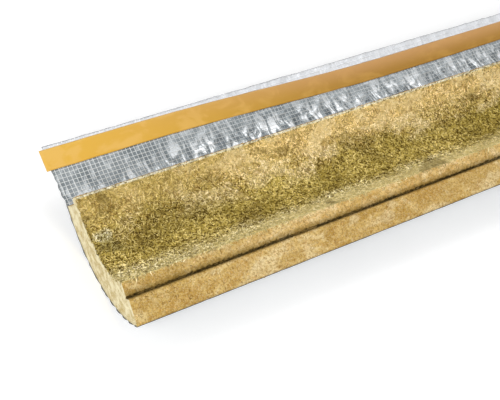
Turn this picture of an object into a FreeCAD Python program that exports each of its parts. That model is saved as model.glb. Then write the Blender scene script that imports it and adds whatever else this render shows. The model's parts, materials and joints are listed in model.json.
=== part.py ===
"""Quarter segment of a stone wool pipe section, lying on its foil-faced back.

Four such segments, stepped joint to stepped joint, close a ring of insulation
round a pipe. X runs along the pipe, Z is up, and lengths are in millimetres.
Each piece is drawn as a section round the pipe's own axis and pushed out along
X. The set is then turned about that axis until it lies in balance, and set
down on the floor. Angles in the section are counted from straight down,
positive towards +Y, which is the side with the tongue and the foil lap.
"""
import FreeCAD, Part
import math
import os
from FreeCAD import Vector

# Driving dimensions, mm and degrees.
LENGTH = 1000.0            # the wool, along the pipe
BORE_RADIUS = 70.0         # the pipe's outside radius
WALL = 40.0                # thickness of the wool
SEGMENTS_IN_RING = 4       # segments that close one ring
TONGUE_THICKNESS = 15.0    # inner part of the wall, up to the step in its edge
STEP = 6.5                 # how far one part of an edge stands past the other
JOINT_LEAN = 8.0           # turn of the edge faces away from the radial line
FOIL_THICKNESS = 0.4       # foil, glass thread grid and their backing together
LAP_WIDTH = 67.0           # foil that runs on past the tongue's edge
LAP_START_SLOPE = 12.0     # slope of the lap where it leaves the wool
LAP_END_SLOPE = 21.0       # slope of the lap at its free edge
STRIP_WIDTH = 23.0         # release strip over the lap's tape
STRIP_THICKNESS = 0.3
STRIP_MARGIN = 6.0         # bare foil between the strip and the lap's free edge
STRIP_OVERHANG = 5.0       # strip that stands out past the near end

# Real densities, kg per cubic mm, for the balance alone.
WOOL_DENSITY = 100e-9
FOIL_DENSITY = 350e-9
STRIP_DENSITY = 300e-9

# Worked out from the sizes above.
OUTER_RADIUS = BORE_RADIUS + WALL
STEP_RADIUS = BORE_RADIUS + TONGUE_THICKNESS
PITCH = 360.0 / SEGMENTS_IN_RING
HALF_STEP_ANGLE = math.degrees(STEP / STEP_RADIUS / 2)


def polar(radius, angle):
    """The point of the section at this radius and this angle from straight down."""
    turn = math.radians(angle)
    return Vector(0, radius * math.sin(turn), -radius * math.cos(turn))


def heading(slope):
    """Unit vector that leaves towards +Y and climbs at this slope."""
    turn = math.radians(slope)
    return Vector(0, math.cos(turn), math.sin(turn))


def angle_of(point):
    """The angle of a point of the section, from straight down."""
    return math.degrees(math.atan2(point.y, -point.z))


def slide_to_radius(start, direction, radius):
    """Where the line from start along direction meets the circle of this radius."""
    along = start.dot(direction)
    reach = math.sqrt(along ** 2 + radius ** 2 - start.dot(start))
    return start + direction * (reach - along)


def arc_between(start, end, radius):
    """Arc round the pipe's axis from one point of the section to another."""
    middle = polar(radius, (angle_of(start) + angle_of(end)) / 2)
    return Part.Arc(start, middle, end).toShape()


def line_between(start, end):
    return Part.LineSegment(start, end).toShape()


def extrude(edges, start_x, length):
    """Solid of a closed section, pushed out along the pipe."""
    face = Part.Face(Part.Wire(edges))
    solid = face.extrude(Vector(length, 0, 0))
    solid.translate(Vector(start_x, 0, 0))
    return solid


def edge_profile(turn):
    """The stepped edge of the wool: inner corner, step's two corners, outer corner.

    The same profile, turned by one pitch, makes both edges, so that the next
    segment's tongue seats on the ledge of this one.
    """
    tongue_corner = polar(STEP_RADIUS, turn + HALF_STEP_ANGLE)
    ledge_corner = polar(STEP_RADIUS, turn - HALF_STEP_ANGLE)
    outward = polar(1.0, turn - JOINT_LEAN)
    # The way in is the way out turned round, and it meets the bore at the near crossing.
    along = tongue_corner.dot(outward)
    depth = along - math.sqrt(along ** 2 + BORE_RADIUS ** 2 - tongue_corner.dot(tongue_corner))
    inner_corner = tongue_corner - outward * depth
    outer_corner = slide_to_radius(ledge_corner, outward, OUTER_RADIUS)
    return inner_corner, tongue_corner, ledge_corner, outer_corner


TONGUE_EDGE = edge_profile(PITCH / 2)
LEDGE_EDGE = edge_profile(-PITCH / 2)


def wool_segment():
    inner_a, tongue_a, ledge_a, outer_a = TONGUE_EDGE
    inner_b, tongue_b, ledge_b, outer_b = LEDGE_EDGE
    edges = [
        arc_between(inner_b, inner_a, BORE_RADIUS),
        line_between(inner_a, tongue_a),
        arc_between(tongue_a, ledge_a, STEP_RADIUS),
        line_between(ledge_a, outer_a),
        arc_between(outer_a, outer_b, OUTER_RADIUS),
        line_between(outer_b, ledge_b),
        arc_between(ledge_b, tongue_b, STEP_RADIUS),
        line_between(tongue_b, inner_b),
    ]
    return extrude(edges, 0, LENGTH)


LAP_TURN = math.radians(LAP_END_SLOPE - LAP_START_SLOPE)
LAP_RADIUS = LAP_WIDTH / LAP_TURN


def on_lap(distance, height):
    """Point this far along the lap from the wool, this high over its top face.

    The lap bends evenly, from its first slope to its last.
    """
    start = TONGUE_EDGE[3]
    first = math.radians(LAP_START_SLOPE)
    here = first + distance / LAP_RADIUS
    radius = LAP_RADIUS - height
    centre = start + Vector(0, -math.sin(first), math.cos(first)) * LAP_RADIUS
    return centre + Vector(0, math.sin(here), -math.cos(here)) * radius


def lap_arc(from_distance, to_distance, height):
    """Arc along the lap, at one height over its top face."""
    middle = (from_distance + to_distance) / 2
    points = [on_lap(distance, height) for distance in (from_distance, middle, to_distance)]
    return Part.Arc(*points).toShape()


def foil_facing():
    """Foil round the wool's back, folded at the tongue's edge into the free lap."""
    corner = TONGUE_EDGE[3]
    near_corner = LEDGE_EDGE[3]
    back = OUTER_RADIUS + FOIL_THICKNESS
    fold = math.radians((angle_of(corner) - LAP_START_SLOPE) / 2)
    mitre = FOIL_THICKNESS * math.tan(fold)
    knee = polar(back, angle_of(corner) - math.degrees(mitre / back))
    near_back = polar(back, angle_of(near_corner))
    lap_end_top = on_lap(LAP_WIDTH, 0)
    lap_end_back = on_lap(LAP_WIDTH, -FOIL_THICKNESS)
    lap_middle_back = on_lap(LAP_WIDTH / 2, -FOIL_THICKNESS)
    edges = [
        arc_between(near_corner, corner, OUTER_RADIUS),
        lap_arc(0, LAP_WIDTH, 0),
        line_between(lap_end_top, lap_end_back),
        Part.Arc(lap_end_back, lap_middle_back, knee).toShape(),
        arc_between(knee, near_back, back),
        line_between(near_back, near_corner),
    ]
    return extrude(edges, 0, LENGTH)


def release_strip():
    """Paper strip over the tape on the lap's top face."""
    far = LAP_WIDTH - STRIP_MARGIN
    near = far - STRIP_WIDTH
    edges = [
        lap_arc(near, far, 0),
        line_between(on_lap(far, 0), on_lap(far, STRIP_THICKNESS)),
        lap_arc(far, near, STRIP_THICKNESS),
        line_between(on_lap(near, STRIP_THICKNESS), on_lap(near, 0)),
    ]
    return extrude(edges, -STRIP_OVERHANG, LENGTH + STRIP_OVERHANG)


def balance_turn(pieces):
    """Turn about the pipe's axis that brings the centre of mass straight below it."""
    moment = Vector(0, 0, 0)
    for shape, density in pieces:
        moment += shape.CenterOfMass * (shape.Volume * density)
    return -angle_of(moment)


def set_down(shapes):
    """Move the set so that the origin is the middle of its box's underside."""
    box = Part.Compound(shapes).optimalBoundingBox(False)
    shift = Vector(-(box.XMin + box.XMax) / 2, -(box.YMin + box.YMax) / 2, -box.ZMin)
    for shape in shapes:
        shape.translate(shift)
    return shift


def main():
    wool = wool_segment()
    foil = foil_facing()
    strip = release_strip()
    turn = balance_turn([(wool, WOOL_DENSITY), (foil, FOIL_DENSITY), (strip, STRIP_DENSITY)])
    nodes = {"wool_segment": wool, "foil_facing": foil, "release_strip": strip}
    for shape in nodes.values():
        shape.rotate(Vector(0, 0, 0), Vector(1, 0, 0), turn)
    shift = set_down(list(nodes.values()))
    os.makedirs("parts", exist_ok=True)
    for name, shape in nodes.items():
        shape.exportStep(os.path.join("parts", name + ".step"))
        print(name, "volume", round(shape.Volume), "valid", shape.isValid())
    print("turned", round(turn, 3), "pipe axis at y, z =", round(shift.y, 3), round(shift.z, 3))


main()
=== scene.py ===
"""Looks of a quarter segment of a stone wool pipe section, with its foil and strip.

Lengths are in metres. Angles in the section are in degrees from straight down,
positive towards +Y, the side with the tongue and the foil lap.
"""
import bpy
import bmesh
import json
import math
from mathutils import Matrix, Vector, noise


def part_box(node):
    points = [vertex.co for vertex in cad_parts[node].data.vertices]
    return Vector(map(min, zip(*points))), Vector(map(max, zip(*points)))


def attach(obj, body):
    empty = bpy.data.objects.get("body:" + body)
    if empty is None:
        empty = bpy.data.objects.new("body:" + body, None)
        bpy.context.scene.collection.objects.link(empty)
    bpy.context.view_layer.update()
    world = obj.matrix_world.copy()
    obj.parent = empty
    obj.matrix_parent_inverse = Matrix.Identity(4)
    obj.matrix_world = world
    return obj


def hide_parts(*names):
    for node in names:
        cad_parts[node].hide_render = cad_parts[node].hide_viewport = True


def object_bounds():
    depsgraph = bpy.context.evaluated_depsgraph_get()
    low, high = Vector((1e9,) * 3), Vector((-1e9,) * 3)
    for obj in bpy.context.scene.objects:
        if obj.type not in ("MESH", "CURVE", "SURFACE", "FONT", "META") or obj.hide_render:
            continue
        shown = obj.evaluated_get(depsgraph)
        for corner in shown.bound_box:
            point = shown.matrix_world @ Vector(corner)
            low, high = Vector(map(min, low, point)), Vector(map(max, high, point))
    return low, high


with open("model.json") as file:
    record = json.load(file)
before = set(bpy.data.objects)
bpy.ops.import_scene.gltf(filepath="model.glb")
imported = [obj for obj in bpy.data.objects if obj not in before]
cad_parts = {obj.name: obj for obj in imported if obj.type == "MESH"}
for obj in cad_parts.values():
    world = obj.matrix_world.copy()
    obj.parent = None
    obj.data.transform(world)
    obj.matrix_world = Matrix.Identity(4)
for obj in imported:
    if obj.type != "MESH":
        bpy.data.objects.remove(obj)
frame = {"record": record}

CAD_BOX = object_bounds()

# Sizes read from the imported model.
SEAT = next(m for m in frame["record"]["mounts"] if m["name"] == "pipe_seat")
AXIS_Y, AXIS_Z = SEAT["pos_m"][1:]
BORE = SEAT["dims"]["r_mm"] / 1000
NEAR_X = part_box("wool_segment")[0][0]
FAR_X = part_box("wool_segment")[1][0]
STRIP_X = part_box("release_strip")[0][0]
OUTER = AXIS_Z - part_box("wool_segment")[0][2]

# The section's own sizes, as in the construction.
PITCH = 90.0                # degrees of the ring that one segment fills
TONGUE = 0.015              # inner part of the wall, up to the step in its edge
STEP = 0.0065               # how far one part of an edge stands past the other
LEAN = 8.0                  # turn of the edge faces away from the radial line
LAP_WIDTH = 0.067
LAP_SLOPES = 12.0, 21.0     # where the lap leaves the wool, and at its free edge
STRIP_WIDTH = 0.023
STEP_RADIUS = BORE + TONGUE
HALF_STEP = math.degrees(STEP / STEP_RADIUS / 2)

# Finish sizes.
DENSE_LENGTH = 0.42         # the near part of the wool, whose rows lie closer together
ROWS_NEAR = 280
ROWS_FAR = 240
BORE_COLUMNS = 80
TONGUE_ROWS = 11, 5, 18     # rows down each leg of the tongue's edge
LEDGE_ROWS = 10, 3, 3, 4, 14
THREAD_PITCH = 0.0045
THREAD = 0.0004
FOIL = 0.0003
PAPER = 0.0003
PAPER_LIFT = 0.0009         # top of the strip over the lap's slow waves
FIBRE_REACH = 0.0012        # how far loose fibres may stand out of the wool's box


# ---------------------------------------------------------------- node trees

class Term:
    """A socket in an expression: each operator adds its Math node."""

    def __init__(self, tree, socket):
        self.tree, self.socket = tree, socket

    def output(self, key):
        """Another output of this term's node."""
        return Term(self.tree, self.socket.node.outputs[key])

    def maths(self, operation, *terms):
        return self.tree.node("ShaderNodeMath", {"operation": operation}, dict(enumerate(terms)))

    def __add__(self, other):
        return self.maths("ADD", self, other)

    def __radd__(self, other):
        return self.maths("ADD", other, self)

    def __sub__(self, other):
        return self.maths("SUBTRACT", self, other)

    def __rsub__(self, other):
        return self.maths("SUBTRACT", other, self)

    def __mul__(self, other):
        return self.maths("MULTIPLY", self, other)

    def __rmul__(self, other):
        return self.maths("MULTIPLY", other, self)

    def __truediv__(self, other):
        return self.maths("DIVIDE", self, other)

    def __rtruediv__(self, other):
        return self.maths("DIVIDE", other, self)

    def __pow__(self, other):
        return self.maths("POWER", self, other)

    def size(self):
        return self.maths("ABSOLUTE", self)

    def fraction(self):
        return self.maths("FRACT", self)

    def turn_from(self, other):
        """Angle in radians whose sine goes with this term and cosine with the other."""
        return self.maths("ARCTAN2", self, other)

    def least(self, other):
        return self.maths("MINIMUM", self, other)

    def most(self, other):
        return self.maths("MAXIMUM", self, other)

    def rise(self, low, high):
        """0 up to low, 1 from high on, smooth between. It falls if low is above high."""
        return self.tree.node(
            "ShaderNodeMapRange", {"interpolation_type": "SMOOTHSTEP"},
            {"Value": self, "From Min": low, "From Max": high}, "Result")


class Tree:
    """Adds nodes to a shader tree or to a Geometry Nodes tree."""

    def __init__(self, tree):
        self.nodes, self.links = tree.nodes, tree.links

    def feed(self, socket, value):
        if isinstance(value, Term):
            self.links.new(value.socket, socket)
        else:
            socket.default_value = value

    def node(self, kind, settings=None, inputs=None, output=0):
        """A node with its settings made first, then its sockets' values or links."""
        made = self.nodes.new(kind)
        for key, value in (settings or {}).items():
            setattr(made, key, value)
        for key, value in (inputs or {}).items():
            self.feed(made.inputs[key], value)
        return Term(self, made.outputs[output])

    def parts(self, vector):
        """The x, y and z of a vector."""
        made = self.node("ShaderNodeSeparateXYZ", None, {0: vector})
        return [made.output(axis) for axis in range(3)]

    def mix(self, factor, first, second):
        """Colour that goes from first to second."""
        first, second = (c if isinstance(c, Term) else (*c, 1.0) for c in (first, second))
        inputs = {0: factor, 6: first, 7: second}
        return self.node("ShaderNodeMix", {"data_type": "RGBA"}, inputs, 2)

    def joined(self, terms):
        """Several geometries as one, in their order."""
        made = self.node("GeometryNodeJoinGeometry")
        for term in terms:
            self.feed(made.socket.node.inputs[0], term)
        return made


class Finish(Tree):
    """A material with one Principled shader."""

    def __init__(self, name, **constants):
        self.material = bpy.data.materials.new(name)
        self.material.use_nodes = True
        super().__init__(self.material.node_tree)
        self.surface = self.nodes["Principled BSDF"]
        for key, value in constants.items():
            self.surface.inputs[key.replace("_", " ")].default_value = value

    def place(self):
        """Position on the piece, in metres."""
        return self.node("ShaderNodeTexCoord", output="Object")

    def noise(self, vector, scale, detail=2.0, roughness=0.5, distortion=0.0, output=0):
        return self.node("ShaderNodeTexNoise", None, {
            "Vector": vector, "Scale": scale, "Detail": detail,
            "Roughness": roughness, "Distortion": distortion}, output)

    def moved(self, vector, shift, scale=(1, 1, 1)):
        return self.node("ShaderNodeMapping", None, {0: vector, "Location": shift, "Scale": scale})

    def bump(self, height, distance, strength=1.0, normal=None):
        inputs = {"Height": height, "Distance": distance, "Strength": strength}
        if normal is not None:
            inputs["Normal"] = normal
        return self.node("ShaderNodeBump", None, inputs)

    def wear(self, **sockets):
        for key, value in sockets.items():
            self.feed(self.surface.inputs[key.replace("_", " ")], value)
        return self.material


# ------------------------------------------------------------------ materials

def strands(finish, place, scale, width, seed, distortion):
    """Thin curly lines, 1 on a line: the places where a warped noise crosses its middle."""
    field = finish.noise(finish.moved(place, (seed, 0, 0)), scale, 1.0, 0.4, distortion)
    return (field - 0.5).size().rise(width, 0.0)


def times(finish, colour, factors):
    """Colour multiplied by another colour, or by numbers for red, green and blue."""
    if not isinstance(factors, Term):
        factors = (*factors, 1.0)
    return finish.node("ShaderNodeMix", {"data_type": "RGBA", "blend_type": "MULTIPLY"},
                       {0: 1.0, 6: colour, 7: factors}, 2)


def section(finish, place):
    """Radius from the pipe's axis in metres, and angle round it in degrees."""
    _, y, z = finish.parts(place)
    across, down = y - AXIS_Y, AXIS_Z - z
    radius = (across ** 2 + down ** 2) ** 0.5
    return radius, across.turn_from(down) * (180 / math.pi)


def slit_shade(finish, place, colour):
    """Painted shade above the slit at the foot of the stepped edge: brown, then near black in the
    slit.
    """
    _, y, z = finish.parts(place)
    slit = polar(STEP_RADIUS, -PITCH / 2 + HALF_STEP)
    away = ((y - slit.x) ** 2 + (z - slit.y) ** 2) ** 0.5
    radius, _ = section(finish, place)
    ragged = away + finish.noise(place, 380, 3.0) * 0.006 - 0.003
    inner = radius.rise(STEP_RADIUS + 0.0012, STEP_RADIUS - 0.0004)
    colour = finish.mix(ragged.rise(0.0085, 0.0015) * inner * 0.75, colour, (0.20, 0.125, 0.022))
    return finish.mix(ragged.rise(0.0032, 0.0008) * inner * 0.9, colour, (0.030, 0.020, 0.004))


def drifted(finish, place):
    """Angle round the section, made to wander so that zones have ragged borders."""
    _, angle = section(finish, place)
    return angle + finish.noise(place, 22, 2.0) * 30 - 15


def tuft_field(finish, place):
    """Noise whose high places are pale tufts and whose low places are dark ones."""
    stretched = finish.moved(place, (7.0, 2.0, 1.0), (0.7, 1.0, 1.0))
    return finish.noise(stretched, 32, 3.0, 0.5, 0.8)


def pale_tufts(finish, place):
    """1 on the pale tufts, which lie on the tongue's half of the bore."""
    along, _, _ = finish.parts(place)
    further = along.rise(NEAR_X + 0.05, NEAR_X + 0.20)
    upper = drifted(finish, place).rise(-2, 22) * (0.25 + further * 0.7)
    return tuft_field(finish, place).rise(0.50, 0.60) * upper


def oval(along, drift, centre, reach):
    """Square of the distance from an oval's centre, 1 on its rim.

    The centre and the reach are metres from the near end and degrees round the bore.
    """
    from_end = (along - NEAR_X - centre[0]) / reach[0]
    return from_end ** 2 + ((drift - centre[1]) / reach[1]) ** 2


def wool_ground(finish, place):
    """Large, soft changes of the wool's colour over the bore, without its strands, with painted
    shade in a broad hollow, under a pale patch and along the near end's corner.
    """
    radius, angle = section(finish, place)
    along, _, _ = finish.parts(place)
    drift = drifted(finish, place)
    broad = finish.noise(finish.moved(place, (2.0, 1.0, 4.0)), 13, 2.0)
    tufts = tuft_field(finish, place)
    curls = strands(finish, finish.moved(place, (1.0, 1.0, 3.0)), 70, 0.07, 9.0, 2.5)
    colour = finish.mix(broad.rise(0.38, 0.62), (0.430, 0.322, 0.066), (0.600, 0.462, 0.118))
    further = along.rise(NEAR_X + 0.08, NEAR_X + 0.26)
    sandy = finish.mix(further, (0.67, 0.510, 0.170), (0.92, 0.70, 0.285))
    colour = finish.mix(drift.rise(6, 38) * 0.9, colour, sandy)
    colour = finish.mix(drift.rise(-14, -32) * 0.95, colour, (0.800, 0.690, 0.330))
    # Broad darker oval a little way from the near end: painted shade, as of a hollow in the wool.
    painted_hollow_shade = oval(along, drift, (0.070, 8), (0.055, 16))
    colour = finish.mix(painted_hollow_shade.rise(1.8, 0.1) * 0.55, colour, (0.270, 0.195, 0.040))
    colour = finish.mix(tufts.rise(0.42, 0.33) * 0.5, colour, (0.240, 0.165, 0.034))
    pale = pale_tufts(finish, place) * (0.55 + curls * 0.45)
    colour = finish.mix(pale, colour, (0.90, 0.75, 0.40))
    seams = strands(finish, loosened(finish, place, 0.010, 60), 85, 0.05, 5.0, 1.0)
    colour = finish.mix(seams * drift.rise(0, 26) * 0.5, colour, (0.40, 0.235, 0.045))
    smudge = oval(along, drift, (0.011, 14), (0.010, 6))
    colour = finish.mix(smudge.rise(1.6, 0.2) * 0.5, colour, (0.66, 0.64, 0.42))
    # Painted shade under the pale grey patch.
    below = oval(along, drift, (0.014, 5), (0.013, 5))
    colour = finish.mix(below.rise(1.6, 0.2) * 0.5, colour, (0.24, 0.20, 0.07))
    # Painted shade along the bore's corner with the near cut end.
    painted_corner_shade = along.rise(NEAR_X + 0.0035, NEAR_X + 0.0008)
    colour = finish.mix(painted_corner_shade * 0.35, colour, (0.26, 0.19, 0.05))
    rim = angle.rise(BORE_HIGH - 2.2, BORE_HIGH - 1.1) * radius.rise(BORE + 0.006, BORE)
    return finish.mix(rim * 0.95, colour, (0.90, 0.83, 0.57))


def loosened(finish, place, amount, scale):
    """Place shaken by a noise, so that lines drawn there come out curly."""
    warp = finish.noise(place, scale, 2.0, 0.5, 0.0, "Color")
    return finish.node("ShaderNodeVectorMath", {"operation": "MULTIPLY_ADD"},
                       {0: warp, 1: (amount, amount, amount), 2: place})


def bore_finish():
    """Matted strands over pits darkened with painted shade, with paler tufts and patches."""
    finish = Finish("bore_wool", Roughness=0.95, Specular_IOR_Level=0.1)
    place = finish.place()
    loose = loosened(finish, place, 0.006, 90)
    long_strands = strands(finish, loose, 150, 0.045, 0.0, 0.5)
    fine_strands = strands(finish, loose, 330, 0.06, 3.1, 0.3)
    pits = finish.noise(loose, 330, 3.0, 0.65, 0.6).rise(0.53, 0.40)
    ground = wool_ground(finish, place)
    _, angle = section(finish, place)
    smooth = angle.rise(BORE_LOW + 9, BORE_LOW + 3)
    pits = pits * (0.95 - smooth * 0.7)
    # The pits are darkened with painted shade, besides being sunk by the bump.
    colour = times(finish, ground, finish.mix(pits, (1.0, 1.0, 1.0), (0.25, 0.19, 0.05)))
    colour = finish.mix(fine_strands * 0.4, colour, times(finish, ground, (1.45, 1.50, 1.75)))
    colour = finish.mix(long_strands * 0.5, colour, times(finish, ground, (1.55, 1.62, 2.1)))
    height = long_strands * 0.5 + fine_strands * 0.3 - pits * 0.7
    return finish.wear(Base_Color=colour, Normal=finish.bump(height, 0.0008, 0.8))


def cut_finish():
    """The cut ends: pale, dense and fine, with a few browner layers."""
    finish = Finish("cut_wool", Roughness=0.95, Specular_IOR_Level=0.1)
    place = finish.place()
    loose = loosened(finish, place, 0.003, 160)
    fine = strands(finish, loose, 520, 0.07, 1.0, 0.3)
    flecks = finish.noise(loose, 700, 3.0, 0.6, 0.5).rise(0.42, 0.30)
    layers = finish.noise(finish.moved(place, (3.0, 5.0, 1.0)), 110, 4.0, 0.65, 0.3)
    colour = finish.mix(layers.rise(0.36, 0.64), (0.560, 0.430, 0.180), (0.860, 0.775, 0.510))
    colour = finish.mix(flecks * 0.3, colour, (0.50, 0.37, 0.15))
    colour = finish.mix(fine * 0.45, colour, (0.93, 0.85, 0.62))
    normal = finish.bump(fine * 0.5 - flecks * 0.5, 0.0004, 0.6)
    return finish.wear(Base_Color=colour, Normal=normal)


def edge_ground(finish, place):
    """Sandy blotches along the stepped edges, browner between them."""
    stretched = finish.moved(place, (3.0, 5.0, 1.0), (0.5, 1.0, 1.0))
    patches = finish.noise(stretched, 70, 4.0, 0.65, 1.0)
    elsewhere = finish.moved(place, (2.0, 4.0, 6.0), (0.7, 1.0, 1.0))
    blobs = finish.noise(elsewhere, 36, 3.0, 0.55, 0.9)
    broad = finish.noise(place, 12, 1.0)
    colour = finish.mix(patches.rise(0.36, 0.58), (0.450, 0.280, 0.066), (0.640, 0.450, 0.165))
    colour = finish.mix(broad.rise(0.35, 0.65) * 0.35, colour, (0.66, 0.49, 0.21))
    colour = finish.mix(patches.rise(0.56, 0.68) * 0.65, colour, (0.76, 0.64, 0.40))
    colour = finish.mix(blobs.rise(0.53, 0.62) * 0.55, colour, (0.80, 0.67, 0.41))
    colour = finish.mix(blobs.rise(0.45, 0.35) * 0.45, colour, (0.48, 0.275, 0.062))
    grains = finish.noise(loosened(finish, place, 0.004, 150), 300, 3.0, 0.6, 0.5)
    colour = finish.mix(grains.rise(0.47, 0.36) * 0.55, colour, (0.42, 0.235, 0.055))
    along, _, _ = finish.parts(place)
    browner = along.rise(NEAR_X + 0.16, NEAR_X)
    radius, _ = section(finish, place)
    inner = radius.rise(STEP_RADIUS + 0.001, STEP_RADIUS - 0.001)
    inner = inner * along.rise(NEAR_X + 0.04, NEAR_X + 0.25)
    colour = finish.mix(inner, colour, times(finish, colour, (1.16, 1.16, 1.22)))
    return times(finish, colour, finish.mix(browner, (1.12, 1.10, 1.02), (1.0, 0.95, 0.74)))


def edge_finish():
    """The stepped edges: finer grained and sandier than the bore, with painted shade in the slit.
    """
    finish = Finish("edge_wool", Roughness=0.95, Specular_IOR_Level=0.1)
    place = finish.place()
    loose = loosened(finish, place, 0.003, 120)
    fine = strands(finish, loose, 420, 0.07, 1.0, 0.3)
    flecks = finish.noise(loose, 470, 4.0, 0.7, 0.4).rise(0.54, 0.38)
    colour = edge_ground(finish, place)
    colour = finish.mix(flecks * 0.8, colour, (0.37, 0.205, 0.048))
    colour = finish.mix(fine * 0.4, colour, (0.84, 0.70, 0.40))
    colour = slit_shade(finish, place, colour)
    normal = finish.bump(fine * 0.4 - flecks * 0.4, 0.0005, 0.6)
    return finish.wear(Base_Color=colour, Normal=normal)


def fibre_finish(name, ground):
    """Loose fibres over that ground colour, each with its own tone from dark to pale."""
    finish = Finish(name, Roughness=0.9, Specular_IOR_Level=0.15)
    place = finish.place()
    tone = finish.node("ShaderNodeAttribute", {"attribute_name": "tone"}, output="Fac")
    shade = finish.mix(tone.rise(0.08, 0.43), (0.13, 0.088, 0.012), (0.95, 0.92, 0.78))
    shade = finish.mix(tone.rise(0.60, 1.0), shade, (1.78, 1.88, 2.70))
    specks = finish.noise(place, 520, 2.0, 0.6).rise(0.46, 0.39)
    shade = finish.mix(specks * 0.85, shade, (0.20, 0.145, 0.025))
    _, angle = section(finish, place)
    along, _, _ = finish.parts(place)
    evener = angle.rise(-20, -34) * (0.25 + along.rise(NEAR_X + 0.06, NEAR_X + 0.20) * 0.4)
    matted = pale_tufts(finish, place) * 0.4
    shade = finish.mix(angle.rise(14, 40) * 0.40 + evener + matted, shade, (1.02, 0.98, 0.92))
    colour = times(finish, ground(finish, place), shade)
    # Painted shade above the slit, as on the stepped edges.
    return finish.wear(Base_Color=slit_shade(finish, place, colour))


def foil_finish():
    """Crinkled foil with a square grid of glass threads showing through it; painted highlights,
    sheen and shade on its creases.
    """
    finish = Finish("scrim_foil", Roughness=0.4)
    along, across, _ = finish.parts(finish.node("ShaderNodeUVMap", {"uv_map": "Sheet"}))

    def near_thread(distance):
        return ((distance / THREAD_PITCH).fraction() - 0.5).size().rise(0.34, 0.47)

    place = finish.place()
    cloud = finish.noise(place, 40, 3.0, 0.6)
    facets = finish.noise(finish.moved(place, (0, 0, 0), (1.0, 0.35, 0.35)), 115, 3.0, 0.6, 1.2)
    lengthwise = near_thread(across)
    crosswise = near_thread(along)
    threads = lengthwise.most(crosswise * along.rise(NEAR_X + 0.20, NEAR_X + 0.08).most(0.45))
    near_wool = across.rise(BACK_LENGTH + 0.036, BACK_LENGTH + 0.008)
    near_wool = near_wool * across.rise(BACK_LENGTH - 0.004, BACK_LENGTH + 0.001)
    margin = across.rise(SHEET_WIDTH - 0.017, SHEET_WIDTH - 0.010)
    rim = (SHEET_WIDTH - across).least(across).least(along - NEAR_X).rise(0.0012, 0.0004)
    colour = finish.mix(cloud.rise(0.35, 0.65), (0.145, 0.168, 0.178), (0.235, 0.258, 0.268))
    creased = along.rise(NEAR_X + 0.06, NEAR_X + 0.18) * 0.7 + 0.3
    folds = finish.noise(finish.moved(place, (4.0, 0, 0), (1.0, 0.3, 0.3)), 62, 2.0, 0.5, 0.9)
    sheen = folds.rise(0.42, 0.60) * creased * across.rise(BACK_LENGTH + 0.038, BACK_LENGTH + 0.012)
    further = along.rise(NEAR_X + 0.24, NEAR_X + 0.42)
    colour = finish.mix(further * 0.3, colour, (0.38, 0.405, 0.42))
    colour = finish.mix(sheen * 0.42, colour, (0.48, 0.51, 0.525))
    threads = threads * (1.0 - near_wool * creased * 0.5)
    # Painted highlights on some crinkle facets and painted shade on others, strongest near the
    # wool.
    painted_facet_light = 0.22 + near_wool * creased * 0.7
    colour = finish.mix(facets.rise(0.51, 0.60) * painted_facet_light, colour, (0.82, 0.84, 0.86))
    colour = finish.mix(facets.rise(0.47, 0.39) * painted_facet_light, colour, (0.085, 0.10, 0.11))
    colour = finish.mix(threads * 0.4, colour, (0.60, 0.63, 0.64))
    colour = finish.mix(margin * (0.45 + facets * 0.5), colour, (0.80, 0.81, 0.84))
    back = across.rise(BACK_LENGTH + 0.002, BACK_LENGTH)
    # Darker cut edges of the sheet, darkest on the back's edge: painted shade with wool dust.
    colour = finish.mix(rim * (0.35 + back * 0.5), colour, (0.12, 0.115, 0.11))
    rough = 0.42 + cloud * 0.10 + threads * 0.12
    normal = finish.bump(threads * 0.4 + facets * 1.2, 0.0008, 0.8)
    return finish.wear(
        Base_Color=colour, Roughness=rough, Metallic=0.85 - threads * 0.35, Normal=normal)


def thread_finish():
    """Glass threads under the foil's thin coat."""
    finish = Finish("glass_threads", Roughness=0.45)
    place = finish.place()
    along, _, _ = finish.parts(place)
    cloud = finish.noise(place, 120, 2.0)
    colour = finish.mix(cloud.rise(0.3, 0.7), (0.58, 0.61, 0.63), (0.84, 0.87, 0.88))
    clean = along.rise(NEAR_X + 0.16, NEAR_X + 0.06) * 0.7
    return finish.wear(Base_Color=finish.mix(clean, colour, (0.94, 0.96, 0.96)))


def paper_finish():
    """Siliconed release paper, a little blotched by the tape below, with a painted reflection that
    fades along it.
    """
    finish = Finish("release_paper", Roughness=0.4, Specular_IOR_Level=0.45)
    place = finish.place()
    along, _, _ = finish.parts(place)
    _, across, _ = finish.parts(finish.node("ShaderNodeUVMap", {"uv_map": "Sheet"}))
    squeezed = finish.moved(place, (1.0, 4.0, 2.0), (1.0, 1.6, 1.6))
    blotch = finish.noise(squeezed, 34, 3.0, 0.55, 0.5)
    speck = finish.noise(place, 900, 2.0, 0.5)
    # Painted reflection: the paper is coloured brighter at the near end and duller further along.
    painted_reflection_fade = (along - NEAR_X).rise(0.0, 0.42)
    colour = finish.mix(painted_reflection_fade, (0.735, 0.420, 0.046), (0.375, 0.185, 0.014))
    colour = finish.mix(blotch.rise(0.46, 0.66) * 0.18, colour, (0.80, 0.47, 0.11))
    # Pale blotches of the tape, shown more strongly in the painted reflection at the near end.
    reflection_blotch_weight = 0.40 - painted_reflection_fade * 0.40
    colour = finish.mix(blotch.rise(0.44, 0.60) * reflection_blotch_weight, colour, (0.80, 0.50, 0.14))
    colour = finish.mix(across.rise(0.002, 0.023) * painted_reflection_fade * 0.62, colour, (0.66, 0.36, 0.15))
    colour = finish.mix(speck.rise(0.6, 0.8) * 0.12, colour, (0.45, 0.24, 0.05))
    normal = finish.bump(blotch + speck * 0.12, 0.0004, 0.35)
    return finish.wear(Base_Color=colour, Roughness=0.36 + blotch * 0.16, Normal=normal)


# ----------------------------------------------------------------- wool shape

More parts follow.
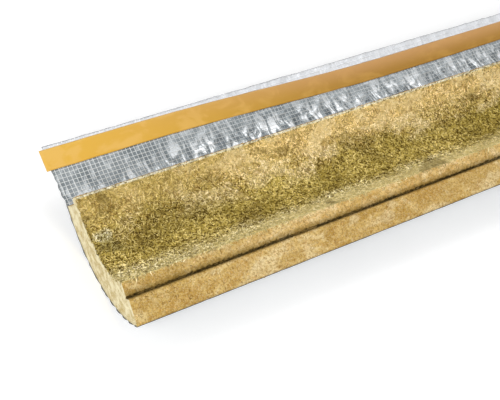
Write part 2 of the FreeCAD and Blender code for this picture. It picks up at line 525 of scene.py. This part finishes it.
def polar(radius, angle):
    """(y, z) at this radius and angle round the pipe's axis."""
    turn = math.radians(angle)
    return Vector((AXIS_Y + radius * math.sin(turn), AXIS_Z - radius * math.cos(turn)))


def cross_circle(start, heading, radius):
    """Where the line from start along heading leaves the circle of this radius."""
    rel = start - Vector((AXIS_Y, AXIS_Z))
    along = rel.dot(heading)
    return start + heading * (math.sqrt(along ** 2 + radius ** 2 - rel.dot(rel)) - along)


def edge_corners(turn):
    """Inner, tongue, ledge and outer corner of a stepped edge."""
    tongue, ledge = polar(STEP_RADIUS, turn + HALF_STEP), polar(STEP_RADIUS, turn - HALF_STEP)
    lean = math.radians(turn - LEAN)
    outward = Vector((math.sin(lean), -math.cos(lean)))
    rel = tongue - Vector((AXIS_Y, AXIS_Z))
    along = rel.dot(outward)
    inner = tongue - outward * (along - math.sqrt(along ** 2 + BORE ** 2 - rel.dot(rel)))
    return inner, tongue, ledge, cross_circle(ledge, outward, OUTER - 0.0003)


def sampled(corners, counts):
    """Points along straight legs, with each leg's own count, the corners slightly rounded."""
    points = [corners[0]]
    for start, end, count in zip(corners, corners[1:], counts):
        points += [start.lerp(end, (i + 1) / count) for i in range(count)]
    soft = [p.copy() for p in points]
    for i in range(1, len(points) - 1):
        soft[i] = points[i] * 0.6 + (points[i - 1] + points[i + 1]) * 0.2
    return soft


def tongue_chain():
    """The edge on the lap's side."""
    return sampled(edge_corners(PITCH / 2), TONGUE_ROWS)


def ledge_chain():
    """The other edge, with the narrow slit that runs along the foot of its step."""
    inner, tongue, ledge, outer = edge_corners(-PITCH / 2)
    lip = tongue.lerp(inner, 0.06)
    slit = polar(STEP_RADIUS - 0.0004, -PITCH / 2 + HALF_STEP + 2.4)
    return sampled((inner, lip, slit, tongue, ledge, outer), LEDGE_ROWS)


def row_places():
    """Places of the rows along the pipe, closer together towards the near end."""
    near = [NEAR_X + DENSE_LENGTH * i / ROWS_NEAR for i in range(ROWS_NEAR)]
    start = NEAR_X + DENSE_LENGTH
    return near + [start + (FAR_X - start) * i / ROWS_FAR for i in range(ROWS_FAR + 1)]


def to_polar(point):
    """Radius and angle of a (y, z) point round the pipe's axis."""
    rel = point - Vector((AXIS_Y, AXIS_Z))
    return rel.length, math.degrees(math.atan2(rel.x, -rel.y))


BORE_HIGH = to_polar(edge_corners(PITCH / 2)[0])[1]
BORE_LOW = to_polar(edge_corners(-PITCH / 2)[0])[1]


def wool_mesh():
    """The wool as one closed skin: bore, two stepped edges, plain back and two cut ends."""
    side_a = tongue_chain()
    side_b = ledge_chain()
    last = len(side_a) - 1
    columns = BORE_COLUMNS
    work = bmesh.new()
    zone = work.verts.layers.float.new("relief")

    def point(row, column):
        """Point of the section between the two edges, by radius and angle."""
        (ra, aa), (rb, ab) = to_polar(side_a[row]), to_polar(side_b[row])
        t = column / columns
        return polar(rb + (ra - rb) * t, ab + (aa - ab) * t)

    def add(x, yz, relief):
        vert = work.verts.new((x, yz.x, yz.y))
        vert[zone] = relief
        return vert

    places = row_places()
    bore = []
    edge_a = []
    edge_b = []
    for x in places:
        flat = [(point(0, k), 1.0 if 0 < k < columns else 0.5) for k in range(columns + 1)]
        bore.append([add(x, p, r) for p, r in flat])
        for chain, made, corner in ((side_a, edge_a, columns), (side_b, edge_b, 0)):
            relief = [0.6 if row < last else 0.0 for row in range(1, last + 1)]
            made.append([bore[-1][corner]] + [add(x, p, r) for p, r in zip(chain[1:], relief)])

    def quads(grid, material):
        for one, two in zip(grid, grid[1:]):
            for k in range(len(one) - 1):
                work.faces.new((one[k], one[k + 1], two[k + 1], two[k])).material_index = material

    quads(bore, 0)
    quads(edge_a, 1)
    quads(edge_b, 1)
    caps = []
    for i in (0, -1):
        grid = [bore[i]]
        for row in range(1, last + 1):
            relief = 0.3 if row < last else 0.0
            inside = [add(places[i], point(row, k), relief) for k in range(1, columns)]
            grid.append([edge_b[i][row]] + inside + [edge_a[i][row]])
        quads(grid, 2)
        caps.append(grid[-1])
    near, far = caps
    for k in range(1, columns - 1):
        work.faces.new((near[k], near[k + 1], far[k + 1], far[k])).material_index = 1
    work.faces.new([row[-1] for row in edge_b] + [far[1], near[1]]).material_index = 1
    work.faces.new([row[-1] for row in edge_a] + [far[-2], near[-2]]).material_index = 1
    bmesh.ops.recalc_face_normals(work, faces=work.faces)
    for face in work.faces:
        face.smooth = True
    mesh = bpy.data.meshes.new("wool")
    work.to_mesh(mesh)
    work.free()
    return mesh


# ------------------------------------------------------------- geometry nodes

def new_tree(name, inputs):
    """Geometry Nodes tree with named number inputs.

    Gives the node group, its Tree, the inputs by name and the output node.
    """
    group = bpy.data.node_groups.new(name, "GeometryNodeTree")
    group.interface.new_socket("Geometry", in_out="INPUT", socket_type="NodeSocketGeometry")
    for label, kind in inputs.items():
        group.interface.new_socket(label, in_out="INPUT", socket_type=kind)
    group.interface.new_socket("Geometry", in_out="OUTPUT", socket_type="NodeSocketGeometry")
    tree = Tree(group)
    start = group.nodes.new("NodeGroupInput")
    end = group.nodes.new("NodeGroupOutput")
    given = {out.name: Term(tree, out) for out in start.outputs if out.name}
    return group, tree, given, end


def run_tree(name, mesh, group, values):
    """A new object: the tree's result on this mesh, as a plain mesh with no modifier."""
    host = bpy.data.objects.new(name + "_host", mesh)
    bpy.context.scene.collection.objects.link(host)
    modifier = host.modifiers.new("shape", "NODES")
    modifier.node_group = group
    for item in group.interface.items_tree:
        if item.in_out == "INPUT" and item.name in values:
            modifier[item.identifier] = values[item.name]
    graph = bpy.context.evaluated_depsgraph_get()
    made = bpy.data.meshes.new_from_object(
        host.evaluated_get(graph), preserve_all_data_layers=True, depsgraph=graph)
    bpy.data.objects.remove(host)
    made.name = name
    return new_piece(name, made)


def new_piece(name, mesh):
    """An object of this mesh, in the scene, at the origin."""
    piece = bpy.data.objects.new(name, mesh)
    bpy.context.scene.collection.objects.link(piece)
    return piece


def relief_tree():
    """Pushes the skin in and out along its normals: flocks, clumps and torn pits."""
    group, tree, given, end = new_tree(
        "matted relief", {"Flock Size": "NodeSocketFloat", "Depth": "NodeSocketFloat"})
    amount = tree.node(
        "GeometryNodeInputNamedAttribute", {"data_type": "FLOAT"}, {"Name": "relief"})
    place = tree.node("GeometryNodeInputPosition")
    scale = 1.0 / given["Flock Size"]

    def field(factor, detail, distortion):
        return tree.node("ShaderNodeTexNoise", None, {
            "Vector": place, "Scale": scale * factor, "Detail": detail,
            "Roughness": 0.6, "Distortion": distortion})

    clumps = field(0.45, 1.0, 0.3) - 0.5
    flocks = field(1.0, 2.0, 1.2) - 0.5
    threads = (field(1.6, 1.0, 0.8) - 0.5).size().rise(0.14, 0.0)
    height = (clumps * 0.7 + flocks * 1.5 + threads * 0.35 - 0.35) * given["Depth"] * amount
    offset = tree.node("ShaderNodeVectorMath", {"operation": "SCALE"},
                       {0: tree.node("GeometryNodeInputNormal"), "Scale": height})
    moved = tree.node("GeometryNodeSetPosition", None,
                      {"Geometry": given["Geometry"], "Offset": offset})
    tree.feed(end.inputs[0], moved)
    return group


def fibre_tree(material):
    """Scatters short bent fibres over a skin, thicker where its coverage is higher."""
    group, tree, given, end = new_tree("loose fibres", {
        "Length": "NodeSocketFloat", "Thickness": "NodeSocketFloat",
        "Lift": "NodeSocketFloat", "Seed": "NodeSocketInt"})
    coverage = tree.node(
        "GeometryNodeInputNamedAttribute", {"data_type": "FLOAT"}, {"Name": "coverage"})
    inputs = {"Mesh": given["Geometry"], "Density": coverage, "Seed": given["Seed"]}
    scatter = tree.node("GeometryNodeDistributePointsOnFaces", None, inputs, "Points")
    facing = scatter.output("Rotation")

    def random_float(low, high, seed):
        inputs = {2: low, 3: high, "Seed": given["Seed"] + seed}
        return tree.node("FunctionNodeRandomValue", {"data_type": "FLOAT"}, inputs, 1)

    def vector(x, y, z):
        return tree.node("ShaderNodeCombineXYZ", None, {0: x, 1: y, 2: z})

    half = given["Length"] * 0.5
    cone = tree.node("GeometryNodeMeshCone", {"fill_type": "NONE"}, {
        "Vertices": 3, "Side Segments": 1, "Radius Top": 0.0,
        "Radius Bottom": given["Thickness"], "Depth": half})
    points = [tree.node("GeometryNodeTransform", None, {0: cone, "Rotation": turn})
              for turn in ((0, math.pi / 2, 0), (math.pi, math.pi / 2, 0))]
    spindle = tree.node("GeometryNodeMergeByDistance", None,
                        {0: tree.joined(points), "Distance": 0.00001})
    x, _, _ = tree.parts(tree.node("GeometryNodeInputPosition"))
    middle = 1.0 - x.size() / half
    kinds = []
    for bend in (0.16, -0.10, 0.28, 0.05):
        bow = vector(0.0, middle * given["Length"] * bend, middle * given["Lift"])
        bent = tree.node("GeometryNodeSetPosition", None, {0: spindle, "Offset": bow})
        kinds.append(tree.node("GeometryNodeGeometryToInstance", None, {0: bent}))
    tone = tree.node("GeometryNodeStoreNamedAttribute", {"data_type": "FLOAT", "domain": "POINT"},
                     {"Geometry": scatter, "Name": "tone", "Value": random_float(0.0, 1.0, 5)})
    spin = vector(random_float(-0.16, 0.16, 1), random_float(-0.16, 0.16, 2),
                  random_float(0.0, 2 * math.pi, 3))
    turned = tree.node(
        "FunctionNodeRotateRotation", {"rotation_space": "LOCAL"}, {0: facing, 1: spin})
    picked = tree.node("FunctionNodeRandomValue", {"data_type": "INT"},
                       {4: 0, 5: len(kinds) - 1, "Seed": given["Seed"] + 9}, 2)
    placed = tree.node("GeometryNodeInstanceOnPoints", None, {
        "Points": tone, "Instance": tree.joined(kinds), "Pick Instance": True,
        "Instance Index": picked, "Rotation": turned,
        "Scale": random_float(0.5, 1.0, 4) * random_float(0.7, 1.7, 8)})
    solid = tree.node("GeometryNodeRealizeInstances", None, {0: placed})
    spot = tree.node("GeometryNodeInputPosition")
    highest = (FAR_X + FIBRE_REACH, 1.0, CAD_BOX[1][2] + FIBRE_REACH)
    lowest = (NEAR_X - FIBRE_REACH, -1.0, 0.0003)
    for operation, limit in (("MINIMUM", highest), ("MAXIMUM", lowest)):
        spot = tree.node("ShaderNodeVectorMath", {"operation": operation}, {0: spot, 1: limit})
    kept = tree.node("GeometryNodeSetPosition", None, {0: solid, "Position": spot})
    done = tree.node("GeometryNodeSetMaterial", None, {0: kept, "Material": material})
    tree.feed(end.inputs[0], done)
    return group


def thread_tree(material):
    """Turns a net of edges into thin four-sided threads."""
    group, tree, given, end = new_tree("threads", {"Thickness": "NodeSocketFloat"})
    curve = tree.node("GeometryNodeMeshToCurve", None, {0: given["Geometry"]})
    profile = tree.node("GeometryNodeCurvePrimitiveCircle", {"mode": "RADIUS"},
                        {"Resolution": 4, "Radius": given["Thickness"] * 0.5}, "Curve")
    tube = tree.node("GeometryNodeCurveToMesh", None,
                     {"Curve": curve, "Profile Curve": profile, "Fill Caps": True})
    solid = tree.node("GeometryNodeRealizeInstances", None, {0: tube})
    done = tree.node("GeometryNodeSetMaterial", None, {0: solid, "Material": material})
    tree.feed(end.inputs[0], done)
    return group


# ----------------------------------------------------------------- foil sheet

TONGUE_OUT = edge_corners(PITCH / 2)[3]
LEDGE_OUT = edge_corners(-PITCH / 2)[3]
BACK_START = to_polar(LEDGE_OUT)[1]
BACK_END = to_polar(TONGUE_OUT)[1]
BACK_LENGTH = math.radians(BACK_END - BACK_START) * OUTER
SHEET_WIDTH = BACK_LENGTH + LAP_WIDTH


def wave(x, s, size_x, size_s, seed):
    """Smooth noise from -1 to 1 over the sheet, with the size of its waves each way."""
    return noise.noise(Vector((x / size_x, s / size_s, seed)))


def strip_edges(x):
    """How far the strip's two long edges lie from the wool's: it wanders along the lap."""
    along = x - NEAR_X
    turn = min(1.0, max(0.0, along - 0.10) / 0.32) * math.pi / 2
    margin = 0.0034 + 0.0078 * math.sin(turn) ** 2 - 0.004 * max(0.0, along - 0.45) / 0.55
    return LAP_WIDTH - margin - STRIP_WIDTH, LAP_WIDTH - margin


def swell(x, s):
    """Slow waves of the lap; s runs on from the wool's edge."""
    free = min(1.0, max(0.0, s / 0.02))
    return free * (0.0007 * wave(x, s, 0.13, 0.08, 1.0) + 0.00025 * wave(x, s, 0.035, 0.05, 2.0))


def crinkle(x, s):
    """Height of the lap's creases over its slow waves, flattened under the strip."""
    along = x - NEAR_X
    worn = 0.12 + 0.88 * min(1.0, max(0.0, (along - 0.05) / 0.12))
    low, high = strip_edges(x)
    free = min(1.0, max(0.0, s / 0.006)) * min(1.0, 0.12 + max(0.0, low - s, s - high) / 0.006)
    reach = math.exp(-(s / (0.012 + 0.012 * wave(x, 0, 0.03, 1, 12.0))) ** 2)
    bent = x + 0.5 * s + 0.004 * wave(x, s, 0.02, 0.02, 13.0)
    fans = 1 - min(1.0, abs(wave(bent, s, 0.024, 0.16, 3.0)) / 0.26)
    pleats = 1 - min(1.0, abs(wave(bent - 0.3 * s, s, 0.0095, 0.05, 4.0)) / 0.40)
    slant = 1 - min(1.0, abs(wave(x - 1.1 * s, s + 0.5 * x, 0.022, 0.030, 9.0)) / 0.24)
    fine = wave(x, s, 0.0045, 0.0055, 5.0)
    rise = 0.0030 * fans * reach + 0.0009 * pleats * reach + 0.0010 * slant
    return free * (worn * rise + 0.00028 * fine)


def lap_point(x, s, height=0.0):
    """Point on the lap's top face, s from the wool's edge, height over it."""
    first, final = (math.radians(a) for a in LAP_SLOPES)
    radius = LAP_WIDTH / (final - first)
    here = first + s / radius
    centre = TONGUE_OUT + Vector((-math.sin(first), math.cos(first))) * radius
    out = Vector((math.sin(here), -math.cos(here)))
    flat = centre + out * radius
    rise = swell(x, s) + height
    return Vector((x, flat.x - out.x * rise, flat.y - out.y * rise))


def sheet_point(x, s):
    """Point of the foil, s from its edge at the ledge."""
    if s > BACK_LENGTH:
        return lap_point(x, s - BACK_LENGTH, crinkle(x, s - BACK_LENGTH))
    angle = BACK_START + math.degrees(s / OUTER)
    loose = 0.00012 * wave(x, s, 0.02, 0.02, 7.0) + 0.00008 * wave(x, s, 0.006, 0.006, 8.0)
    yz = polar(OUTER - 0.0001 + loose, angle)
    return Vector((x, yz.x, yz.y))


def grid_mesh(name, rows, columns, place, uv):
    """Open grid of rows by columns, with its own UV map in metres."""
    mesh = bpy.data.meshes.new(name)
    verts = [place(i, j) for i in range(rows + 1) for j in range(columns + 1)]
    wide = columns + 1
    faces = [(i * wide + j, (i + 1) * wide + j, (i + 1) * wide + j + 1, i * wide + j + 1)
             for i in range(rows) for j in range(columns)]
    mesh.from_pydata(verts, [], faces)
    layer = mesh.uv_layers.new(name="Sheet")
    for loop in mesh.loops:
        i, j = divmod(loop.vertex_index, wide)
        layer.data[loop.index].uv = uv(i, j)
    for face in mesh.polygons:
        face.use_smooth = True
    return mesh


def foil_sheet():
    """The whole foil: round the back, then out into the lap, coarser on the back."""
    back, lap, rows = 36, 46, 400
    sides = [BACK_LENGTH * j / back for j in range(back)]
    sides += [BACK_LENGTH + LAP_WIDTH * j / lap for j in range(lap + 1)]

    def spot(i, j):
        t = i / rows
        x = NEAR_X + (FAR_X - NEAR_X) * (0.62 * t + 0.38 * t * t)
        s = sides[j]
        ragged = 0.0006 * wave(x, 0, 0.009, 1, 2.0) + 0.0007 * wave(x, 0, 0.04, 1, 4.0)
        if j == 0:
            s += ragged - 0.0005
        if j == len(sides) - 1:
            s += ragged * 0.6
        if i in (0, rows):
            x += (0.0017 * wave(s, 0, 0.007, 1, 6.0 + i) + 0.0006) * (1 if i else -1)
        return x, s

    mesh = grid_mesh("foil", rows, len(sides) - 1, lambda i, j: sheet_point(*spot(i, j)), spot)
    piece = new_piece("foil_facing_sheet", mesh)
    wall = piece.modifiers.new("wall", "SOLIDIFY")
    wall.thickness = FOIL
    wall.offset = -1.0
    return piece


def thread_net():
    """Edges of the square thread grid on the lap's top face."""
    verts, edges = [], []

    def line(points):
        start = len(verts)
        verts.extend(points)
        edges.extend((k, k + 1) for k in range(start, len(verts) - 1))

    def over(x, s, sunk=0.0):
        worn = min(1.0, max(0.0, (x - NEAR_X - 0.08) / 0.1))
        return lap_point(x, s, crinkle(x, s) + 0.00002 - sunk * worn)

    row = math.ceil((BACK_LENGTH + 0.001) / THREAD_PITCH)
    count = 330
    while row * THREAD_PITCH < SHEET_WIDTH - 0.001:
        s = row * THREAD_PITCH - BACK_LENGTH
        line([over(NEAR_X + (FAR_X - NEAR_X) * k / count, s) for k in range(count + 1)])
        row += 1
    column = math.ceil((NEAR_X + 0.0005) / THREAD_PITCH)
    while column * THREAD_PITCH < FAR_X - 0.0005:
        stops = [LAP_WIDTH * (0.004 + 0.992 * k / 26) for k in range(27)]
        line([over(column * THREAD_PITCH, s, 0.0001) for s in stops])
        column += 1
    mesh = bpy.data.meshes.new("net")
    mesh.from_pydata(verts, edges, [])
    return mesh


def release_strip():
    """Paper strip over the tape, lying on the lap's slow waves."""
    rows, columns = 330, 14

    def spot(i, j):
        x = STRIP_X + (FAR_X - STRIP_X) * i / rows
        low, high = strip_edges(x)
        return x, low + (high - low) * j / columns + 0.0002 * wave(x, j, 0.02, 5.0, 4.0)

    def place(i, j):
        x, s = spot(i, j)
        edge = abs(2 * j / columns - 1)
        lift = PAPER_LIFT + 0.00012 * wave(x, s, 0.010, 0.010, 6.0) - 0.0003 * edge ** 6
        return lap_point(x, s, lift)

    def flat(i, j):
        return spot(i, j)[0], STRIP_WIDTH * j / columns

    piece = new_piece("release_strip_paper", grid_mesh("paper", rows, columns, place, flat))
    wall = piece.modifiers.new("wall", "SOLIDIFY")
    wall.thickness = PAPER
    wall.offset = -1.0
    return piece


# ------------------------------------------------------------------- assembly

def coverage_mesh(source, amount):
    """Copy of the wool's skin with a fibre coverage for each vertex, per square metre."""
    mesh = source.copy()
    layer = mesh.attributes.new("coverage", "FLOAT", "POINT")
    layer.data.foreach_set("value", [amount(v.co) for v in mesh.vertices])
    return mesh


def on_bore(co):
    radius, _ = to_polar(Vector((co.y, co.z)))
    return radius < BORE + 0.0025


def bore_cover(low, high, amount):
    """Cover of a part of the bore's length, none at the tongue's corner, thin at the ledge."""
    def cover(co):
        if not on_bore(co) or not low <= co.x - NEAR_X < high:
            return 0.0
        _, angle = to_polar(Vector((co.y, co.z)))
        thin = min(1.0, max(0.0, (BORE_HIGH - 2.2 - angle) / 2.0))
        return amount * thin * min(1.0, max(0.2, (angle - BORE_LOW - 2.0) / 8.0))
    return cover


def edge_cover(co):
    """Light cover on the stepped edges, none on the bore, the back and the cut ends."""
    radius, _ = to_polar(Vector((co.y, co.z)))
    if on_bore(co) or radius > OUTER - 0.001:
        return 0.0
    return 110000.0 if min(co.x - NEAR_X, FAR_X - co.x) > 0.0008 else 0.0


def make_wool():
    relief = {"Flock Size": 0.0085, "Depth": 0.0015}
    skin = run_tree("wool_segment_body", wool_mesh(), relief_tree(), relief)
    for material in (bore_finish(), edge_finish(), cut_finish()):
        skin.data.materials.append(material)
    bore_tree = fibre_tree(fibre_finish("bore_fibres", wool_ground))
    edge_tree = fibre_tree(fibre_finish("edge_fibres", edge_ground))
    covers = {
        "bore_fibres_near": (bore_tree, bore_cover(0.0, 0.23, 1150000.0), 0.0056, 0.00044, 11),
        "bore_fibres_middle": (bore_tree, bore_cover(0.23, 0.47, 1100000.0), 0.0058, 0.00046, 12),
        "bore_fibres_far": (bore_tree, bore_cover(0.47, 1.1, 300000.0), 0.0064, 0.00064, 13),
        "edge_fibres": (edge_tree, edge_cover, 0.0032, 0.00030, 14),
    }
    made = [skin]
    for name, (tree, cover, length, thickness, seed) in covers.items():
        values = {"Length": length, "Thickness": thickness, "Lift": 0.0003, "Seed": seed}
        made.append(run_tree(name, coverage_mesh(skin.data, cover), tree, values))
    return made


def make_foil():
    sheet = foil_sheet()
    sheet.data.materials.append(foil_finish())
    net = run_tree(
        "foil_thread_grid", thread_net(), thread_tree(thread_finish()), {"Thickness": THREAD})
    return sheet, net


def seen_by_rays(finish):
    """1 for rays from the camera, off a gloss or through glass."""
    camera = finish.node("ShaderNodeLightPath", output="Is Camera Ray")
    return camera.most(camera.output("Is Glossy Ray")).most(camera.output("Is Transmission Ray"))


def make_floor(size=12.0):
    """White floor with a glow of its own that grows away from the object."""
    mesh = bpy.data.meshes.new("floor")
    corners = [(-size, -size, 0), (size, -size, 0), (size, size, 0), (-size, size, 0)]
    mesh.from_pydata(corners, [], [(0, 1, 2, 3)])
    floor = new_piece("floor", mesh)
    finish = Finish("floor_white", Roughness=1.0, Specular_IOR_Level=0.0, Emission_Strength=1.0)
    x, y, _ = finish.parts(finish.place())
    far = ((x ** 2 + y ** 2) ** 0.5).rise(0.5, 3.0)
    white = finish.mix(far, (0.22, 0.22, 0.22), (0.75, 0.75, 0.75))
    glow = finish.mix(seen_by_rays(finish), (0.0, 0.0, 0.0), white)
    white_paint = (0.90, 0.90, 0.90, 1.0)
    floor.data.materials.append(finish.wear(Base_Color=white_paint, Emission_Color=glow))


# Place, size in metres and power in watts of each soft lamp.
LAMPS = {
    "key": ((-1.5, -1.2, 1.6), 1.2, 27.0),
    "fill": ((0.9, -1.6, 1.6), 1.6, 9.0),
    "back": ((0.4, 1.3, 1.8), 1.2, 14.0),
    "left": ((-2.0, 0.3, 0.9), 1.0, 7.0),
}
LIT_POINT = (-0.3, 0.0, 0.03)


def make_light(name, place, size, power):
    """Square soft lamp turned to the middle of the object's near half."""
    data = bpy.data.lights.new(name, "AREA")
    data.size = size
    data.energy = power
    lamp = bpy.data.objects.new(name, data)
    lamp.location = place
    heading = Vector(LIT_POINT) - Vector(place)
    lamp.rotation_euler = heading.to_track_quat("-Z", "Y").to_euler()
    bpy.context.scene.collection.objects.link(lamp)


def make_camera():
    data = bpy.data.cameras.new("camera")
    data.lens = 68.4
    data.sensor_width = 36.0
    camera = bpy.data.objects.new("camera", data)
    camera.location = (-0.7307, -0.4854, 0.7660)
    camera.rotation_euler = [math.radians(a) for a in (39.10, -9.03, -29.84)]
    bpy.context.scene.collection.objects.link(camera)
    bpy.context.scene.camera = camera


def make_studio():
    make_floor()
    world = bpy.data.worlds.new("studio")
    world.use_nodes = True
    sky = Tree(world.node_tree)
    background = sky.nodes["Background"]
    background.inputs["Strength"].default_value = 1.0
    light_grey = (0.38, 0.38, 0.38)
    shown = sky.mix(seen_by_rays(sky), light_grey, (1.0, 1.0, 1.0))
    sky.feed(background.inputs["Color"], shown)
    bpy.context.scene.world = world
    for name, (place, size, power) in LAMPS.items():
        make_light(name, place, size, power)
    bpy.context.scene.view_settings.view_transform = "Standard"


make_studio()
make_camera()
wool, *fibres = make_wool()
foil, threads = make_foil()
paper = release_strip()
paper.data.materials.append(paper_finish())

for piece in (wool, *fibres, foil, threads, paper):
    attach(piece, "root")
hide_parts("wool_segment")
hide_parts("foil_facing")
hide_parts("release_strip")
